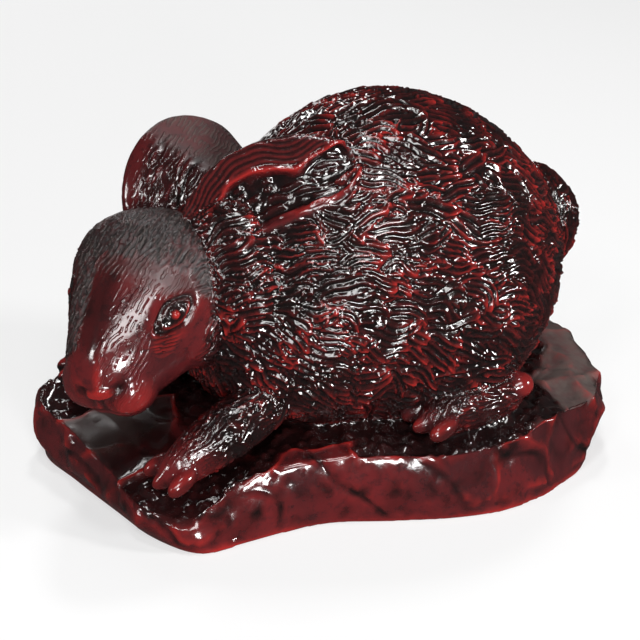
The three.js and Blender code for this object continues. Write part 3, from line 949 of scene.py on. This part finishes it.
def carve_wear(skin, carved, carvings):
    """What handling leaves: toning in creases and red on ridges that no carving shelters. Both
    follow how far a point lies below or above its smoothed surroundings."""
    hollow = dot(spread_out(carved, skin.edges, 24) - carved, skin.normals)
    bare = np.prod([1 - layer for layer in layer_of(carvings, "sheltered")], axis=0)
    return {"patina_and_shade": ease(0.02, 0.22, hollow), "rub": 0.8 * ease(0.015, 0.12, -hollow) * bare}


def figure_mesh(settings):
    """The carved skin in metres: every point moves along its normal by the sum of all reliefs.
    Its layers, each the strongest of all carvings, say where it is toned dark in the hollows and
    where shade is painted, rub on the raised edges, dull where the resin is matt and hatch where
    it is scratched."""
    raw = raw_figure()
    mesh, points = fuse(raw, settings.lattice / MM, settings.softening)
    bpy.data.objects.remove(raw)
    skin = Skin(mesh, points)
    carvings = [
        carve_face(skin), carve_ears(skin), carve_rock(skin), carve_feet(skin),
        carve_coat(skin, settings),
    ]
    carved = points + skin.normals * sum(layer_of(carvings, "lift"))[:, None]
    carvings.append(carve_wear(skin, carved, carvings))
    carved[points[:, 2] < GROUND_SKIN, 2] = 0
    carved[:, 2] = carved[:, 2].clip(0)
    mesh.vertices.foreach_set("co", carved.astype(np.float32).ravel())
    mesh.color_attributes.remove(mesh.color_attributes["notes"])
    for name in ("patina_and_shade", "rub", "dull", "hatch"):
        layer = mesh.attributes.new(name, "FLOAT", "POINT")
        values = np.maximum.reduce(layer_of(carvings, name)).clip(0, 1)
        layer.data.foreach_set("value", values.astype(np.float32))
    thick = bpy.data.objects.new("thick_figure", mesh)
    bpy.context.scene.collection.objects.link(thick)
    fewer = thick.modifiers.new("fewer", "DECIMATE")
    fewer.ratio = min(1, settings.triangles / (2 * len(mesh.polygons)))
    final = applied(thick)
    bpy.data.objects.remove(thick)
    placed = (read_points(final) - ORIGIN) * MM
    placed[:, 2] = placed[:, 2].clip(0)
    final.vertices.foreach_set("co", placed.astype(np.float32).ravel())
    final.polygons.foreach_set("use_smooth", np.ones(len(final.polygons), bool))
    final.update()
    return final


class Shader:
    """A small helper that builds a material's nodes."""

    def __init__(self, name):
        self.material = bpy.data.materials.new(name)
        self.material.use_nodes = True
        self.tree = self.material.node_tree
        self.tree.nodes.clear()
        self.place = 0

    def node(self, kind, inputs, **settings):
        """A node of one kind, with its inputs' values or links and its settings."""
        node = self.tree.nodes.new(kind)
        node.location = (self.place, 0)
        self.place += 180
        for key, value in settings.items():
            setattr(node, key, value)
        for key, value in inputs.items():
            if isinstance(value, bpy.types.NodeSocket):
                self.tree.links.new(value, node.inputs[key])
            else:
                node.inputs[key].default_value = value
        return node

    def layer(self, name):
        """A value carried by the mesh."""
        return self.node("ShaderNodeAttribute", {}, attribute_name=name).outputs["Fac"]

    def noise(self, place, scale, detail=4.0, rough=0.55):
        """Cloudy noise from 0 to 1."""
        inputs = {"Vector": place, "Scale": scale, "Detail": detail, "Roughness": rough}
        return self.node("ShaderNodeTexNoise", inputs).outputs["Fac"]

    def math(self, kind, first, second):
        """Arithmetic on two values, kept from 0 to 1."""
        inputs = {0: first, 1: second}
        return self.node("ShaderNodeMath", inputs, operation=kind, use_clamp=True).outputs[0]

    def between(self, value, low, high, to_low=0.0, to_high=1.0):
        """A value mapped smoothly from one range to another."""
        inputs = {
            "Value": value, "From Min": low, "From Max": high, "To Min": to_low, "To Max": to_high,
        }
        node = self.node("ShaderNodeMapRange", inputs, interpolation_type="SMOOTHSTEP")
        return node.outputs["Result"]

    def blend(self, share, first, second):
        """Two colours mixed by a share."""
        node = self.node("ShaderNodeMix", {}, data_type="RGBA")
        for key, value in (("Factor_Float", share), ("A_Color", first), ("B_Color", second)):
            socket = next(s for s in node.inputs if s.identifier == key)
            if isinstance(value, bpy.types.NodeSocket):
                self.tree.links.new(value, socket)
            else:
                socket.default_value = value
        return next(s for s in node.outputs if s.identifier == "Result_Color")

    def finish(self, inputs):
        """The material, with its surface's inputs."""
        surface = self.node("ShaderNodeBsdfPrincipled", inputs).outputs["BSDF"]
        self.node("ShaderNodeOutputMaterial", {"Surface": surface})
        return self.material


def scratches(shader, place, hatch):
    """Scratched strokes where the hatch layer is: a sine of the place along one direction, bent
    and broken by noise."""
    bent = shader.node("ShaderNodeTexNoise", {"Vector": place, "Scale": 700.0, "Detail": 2.0})
    sway = shader.node("ShaderNodeVectorMath", {
        0: bent.outputs["Color"], 1: (HATCH_SWAY,) * 3, 2: place,
    }, operation="MULTIPLY_ADD").outputs["Vector"]
    phase = shader.node("ShaderNodeVectorMath", {
        0: sway, 1: tuple(FULL_TURN / HATCH_PITCH * axis for axis in HATCH_COURSE),
    }, operation="DOT_PRODUCT").outputs["Value"]
    wave = shader.node("ShaderNodeMath", {0: phase}, operation="SINE").outputs[0]
    broken = shader.between(shader.noise(place, TONING_PER_METRE, 1.0), 0.4, 0.55)
    strokes = shader.math("MULTIPLY", shader.between(wave, -0.3, 0.8), broken)
    return shader.math("MULTIPLY", strokes, hatch)


def resin_material(colours):
    """Dark red lacquered resin: deep red clouded with wine, brighter where raised edges are rubbed,
    almost black where the toning layer lies, in the hollows and where shade is painted, and
    greyish and matt where the dull layer is, less so between scratched strokes, where painted
    shade keeps them dark. Its relief is fine grain and the strokes."""
    shader = Shader("red_resin")
    place = shader.node("ShaderNodeTexCoord", {}).outputs["Object"]
    patina_and_shade, rub, dull, hatch = (shader.layer(name) for name in ("patina_and_shade", "rub", "dull", "hatch"))
    clouds = shader.between(shader.noise(place, CLOUDS_PER_METRE, 3.0), 0.42, 0.66)
    specks = shader.between(shader.noise(place, SPECKS_PER_METRE, 4.0, 0.7), 0.48, 0.7, 0.0, 0.7)
    mottle = shader.math("ADD", clouds, specks)
    toning = shader.noise(place, TONING_PER_METRE, 5.0, 0.6)
    scratched = scratches(shader, place, hatch)
    # The toning layer also carries painted shade.
    toned_and_shaded = shader.math("MULTIPLY", patina_and_shade, shader.between(toning, 0.25, 0.6, 0.9, 1.0))
    grey = shader.math("MULTIPLY", dull, shader.between(toning, 0.3, 0.65, 0.35, 1.0))
    # Painted shade: less grey bloom between the scratched strokes, so they read darker as if in
    # shade.
    scratch_painted_shade = shader.math("SUBTRACT", hatch, scratched)
    grey = shader.math("SUBTRACT", grey, shader.math("MULTIPLY", scratch_painted_shade, 0.45))
    colour = shader.blend(mottle, (*colours.deep_red, 1), (*colours.wine, 1))
    for share, strength, over in (
        (rub, colours.rub_share, colours.bright_red),
        (toned_and_shaded, colours.patina_and_shade_share, colours.patina_and_shade),
        (grey, colours.dull_share, colours.dull),
    ):
        colour = shader.blend(shader.math("MULTIPLY", share, strength), colour, (*over, 1))
    sheen = shader.noise(place, SHEEN_PER_METRE, 3.0)
    rough = shader.between(sheen, 0.3, 0.7, colours.roughness * 0.8, colours.roughness * 1.3)
    rough = shader.math("ADD", rough, shader.math("MULTIPLY", dull, 0.9))
    grain = shader.node("ShaderNodeBump", {
        "Height": shader.noise(place, GRAIN_PER_METRE, 4.0, 0.6), "Strength": 0.12,
        "Distance": GRAIN_DEPTH,
    }).outputs["Normal"]
    relief = shader.node("ShaderNodeBump", {
        "Height": scratched, "Strength": 1.0, "Distance": HATCH_DEPTH, "Normal": grain,
    }).outputs["Normal"]
    return shader.finish({
        "Base Color": colour, "Roughness": rough, "Normal": relief, "IOR": 1.5,
        "Specular IOR Level": 0.65,
    })


class CastingSizes(bpy.types.PropertyGroup):
    """Sizes of the carving."""

    lattice: FloatProperty(
        name="Lattice", description="Fineness of the fused skin",
        default=0.00014, min=0.0001, max=0.001, precision=5, unit="LENGTH")
    softening: IntProperty(
        name="Softening", description="Rounds of softening where forms meet",
        default=14, min=0, max=60)
    triangles: IntProperty(
        name="Triangles", description="Most triangles in the finished skin",
        default=196000, max=198000)
    lock_spacing: FloatProperty(
        name="Lock spacing", description="Distance between the roots of locks of fur",
        default=0.0023, precision=5, unit="LENGTH")
    lock_length: FloatProperty(
        name="Lock length", description="Length of a lock of fur",
        default=0.005, precision=5, unit="LENGTH")
    lock_width: FloatProperty(
        name="Lock width", description="Width of a lock of fur",
        default=0.0026, precision=5, unit="LENGTH")
    lock_height: FloatProperty(
        name="Lock height", description="How far a lock's tip stands out",
        default=0.00042, precision=5, unit="LENGTH")
    lock_turn: FloatProperty(
        name="Lock turn", description="How much locks differ in direction",
        default=0.9, subtype="ANGLE")
    stroke_pitch: FloatProperty(
        name="Stroke pitch", description="Distance between the strokes on a lock",
        default=0.0006, precision=5, unit="LENGTH")
    stroke_height: FloatProperty(
        name="Stroke height", description="Depth of the grooves between strokes",
        default=0.00028, precision=5, unit="LENGTH")


class CastingColours(bpy.types.PropertyGroup):
    """Colours and finish of the resin."""

    deep_red: FloatVectorProperty(
        name="Deep red", description="Colour of the smooth resin",
        default=(0.092, 0.01, 0.011), subtype="COLOR", min=0, max=1)
    wine: FloatVectorProperty(
        name="Wine", description="Darker clouds in the resin",
        default=(0.04, 0.008, 0.009), subtype="COLOR", min=0, max=1)
    bright_red: FloatVectorProperty(
        name="Bright red", description="Colour of rubbed edges",
        default=(0.34, 0.017, 0.014), subtype="COLOR", min=0, max=1)
    # The same near-black colour is the painted shade on the far side of the snout, the toes'
    # undersides, the legs, the low flanks and the rock's front top.
    patina_and_shade: FloatVectorProperty(
        name="Patina", description="Toning in the hollows",
        default=(0.004, 0.003, 0.003), subtype="COLOR", min=0, max=1)
    dull: FloatVectorProperty(
        name="Dull", description="Greyish matt bloom",
        default=(0.07, 0.052, 0.044), subtype="COLOR", min=0, max=1)
    rub_share: FloatProperty(
        name="Rubbing", description="Strength of the rubbed edges", default=0.85, min=0, max=1)
    patina_and_shade_share: FloatProperty(
        name="Toning", description="Strength of the toning", default=0.98, min=0, max=1)
    dull_share: FloatProperty(
        name="Bloom", description="Strength of the matt bloom", default=0.8, min=0, max=1)
    roughness: FloatProperty(
        name="Roughness", description="Roughness of the lacquer", default=0.125, min=0, max=1)


class StageSettings(bpy.types.PropertyGroup):
    """Camera, floor and lights."""

    azimuth: FloatProperty(
        name="Azimuth", description="Way round the piece",
        default=math.radians(-28), subtype="ANGLE")
    elevation: FloatProperty(
        name="Elevation", description="Height angle", default=math.radians(25), subtype="ANGLE")
    distance: FloatProperty(
        name="Distance", description="From the camera to the middle",
        default=0.1386, precision=4, unit="LENGTH")
    middle_height: FloatProperty(
        name="Middle height", description="Height looked at",
        default=0.01394, precision=5, unit="LENGTH")
    lens: FloatProperty(
        name="Lens", description="Focal length in millimetres on a 36 mm sensor", default=91.1)
    air_light: FloatProperty(
        name="Air light", description="Light from all around", default=0.05, min=0)
    floor_size: FloatProperty(
        name="Floor", description="Side of the floor", default=6.0, unit="LENGTH")


class NETSUKE_OT_casting(bpy.types.Operator):
    """Carve the rabbit on its rock as one skin and give it its resin finish"""

    bl_idname = "netsuke.casting"
    bl_label = "Rabbit on rock"

    def execute(self, context):
        mesh = figure_mesh(context.scene.netsuke_sizes)
        mesh.name = "rabbit_casting"
        mesh.materials.clear()
        mesh.materials.append(resin_material(context.scene.netsuke_colours))
        piece = bpy.data.objects.new("rabbit_casting", mesh)
        context.scene.collection.objects.link(piece)
        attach(piece, "root")
        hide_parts("rabbit_on_rock")
        return {"FINISHED"}


def aimed(name, data, place, way):
    """An object at a place, turned to look one way."""
    holder = bpy.data.objects.new(name, data)
    holder.location = place
    holder.rotation_euler = way.to_track_quat("-Z", "Y").to_euler()
    bpy.context.scene.collection.objects.link(holder)
    return holder


class NETSUKE_OT_stage(bpy.types.Operator):
    """Set the pale floor, the soft studio light and the camera"""

    bl_idname = "netsuke.stage"
    bl_label = "Stage"

    def execute(self, context):
        scene = context.scene
        stage = scene.netsuke_stage
        half = stage.floor_size / 2
        mesh = bpy.data.meshes.new("floor")
        corners = [(-half, -half, 0), (half, -half, 0), (half, half, 0), (-half, half, 0)]
        mesh.from_pydata(corners, [], [(0, 1, 2, 3)])
        floor = bpy.data.objects.new("floor", mesh)
        scene.collection.objects.link(floor)
        mesh.materials.append(Shader("pale_floor").finish({
            "Base Color": (FLOOR_GREY, FLOOR_GREY, FLOOR_GREY, 1), "Roughness": 0.9,
            "Emission Color": (1, 1, 1, 1), "Emission Strength": FLOOR_GLOW,
        }))
        floor.visible_glossy = False

        middle = Vector((-ORIGIN[0] * MM, -ORIGIN[1] * MM, stage.middle_height))
        toward = Vector((
            math.sin(stage.azimuth) * math.cos(stage.elevation),
            -math.cos(stage.azimuth) * math.cos(stage.elevation),
            math.sin(stage.elevation),
        ))
        camera = bpy.data.cameras.new("camera")
        camera.lens = stage.lens
        camera.sensor_width = 36
        camera.clip_start = 0.005
        scene.camera = aimed("camera", camera, middle + toward * stage.distance, -toward)

        world = bpy.data.worlds.new("studio")
        world.use_nodes = True
        nodes, links = world.node_tree.nodes, world.node_tree.links
        air = nodes["Background"]
        air.inputs["Color"].default_value = (1, 1, 1, 1)
        strength = nodes.new("ShaderNodeMapRange")
        strength.inputs["To Min"].default_value = stage.air_light
        strength.inputs["To Max"].default_value = BACKGROUND_SEEN
        seen = nodes.new("ShaderNodeLightPath").outputs["Is Camera Ray"]
        links.new(seen, strength.inputs["Value"])
        links.new(strength.outputs["Result"], air.inputs["Strength"])
        scene.world = world
        scene.view_settings.view_transform = "Standard"
        for name, place, size, power in LIGHTS:
            light = bpy.data.lights.new(name, "AREA")
            light.shape = "SQUARE"
            light.size = size
            light.energy = power
            aimed(name, light, place, middle - Vector(place))
        return {"FINISHED"}


class NETSUKE_PT_panel(bpy.types.Panel):
    """Lists the casting and its stage"""

    bl_label = "Netsuke"
    bl_idname = "NETSUKE_PT_panel"
    bl_space_type = "VIEW_3D"
    bl_region_type = "UI"
    bl_category = "Netsuke"

    def draw(self, context):
        groups = (
            ("netsuke.casting", context.scene.netsuke_sizes),
            ("", context.scene.netsuke_colours),
            ("netsuke.stage", context.scene.netsuke_stage),
        )
        for operator, settings in groups:
            box = self.layout.box()
            if operator:
                box.operator(operator)
            for name in settings.bl_rna.properties.keys():
                if name not in ("rna_type", "name"):
                    box.prop(settings, name)


CLASSES = (
    CastingSizes, CastingColours, StageSettings,
    NETSUKE_OT_casting, NETSUKE_OT_stage, NETSUKE_PT_panel,
)


def register():
    """Make the settings, operators and panel known."""
    for group in CLASSES:
        bpy.utils.register_class(group)
    bpy.types.Scene.netsuke_sizes = PointerProperty(type=CastingSizes)
    bpy.types.Scene.netsuke_colours = PointerProperty(type=CastingColours)
    bpy.types.Scene.netsuke_stage = PointerProperty(type=StageSettings)


def unregister():
    """Take them away again."""
    del bpy.types.Scene.netsuke_stage
    del bpy.types.Scene.netsuke_colours
    del bpy.types.Scene.netsuke_sizes
    for group in reversed(CLASSES):
        bpy.utils.unregister_class(group)


def main():
    """Build the piece and its stage."""
    register()
    bpy.ops.netsuke.casting()
    bpy.ops.netsuke.stage()


if __name__ == "__main__":
    main()
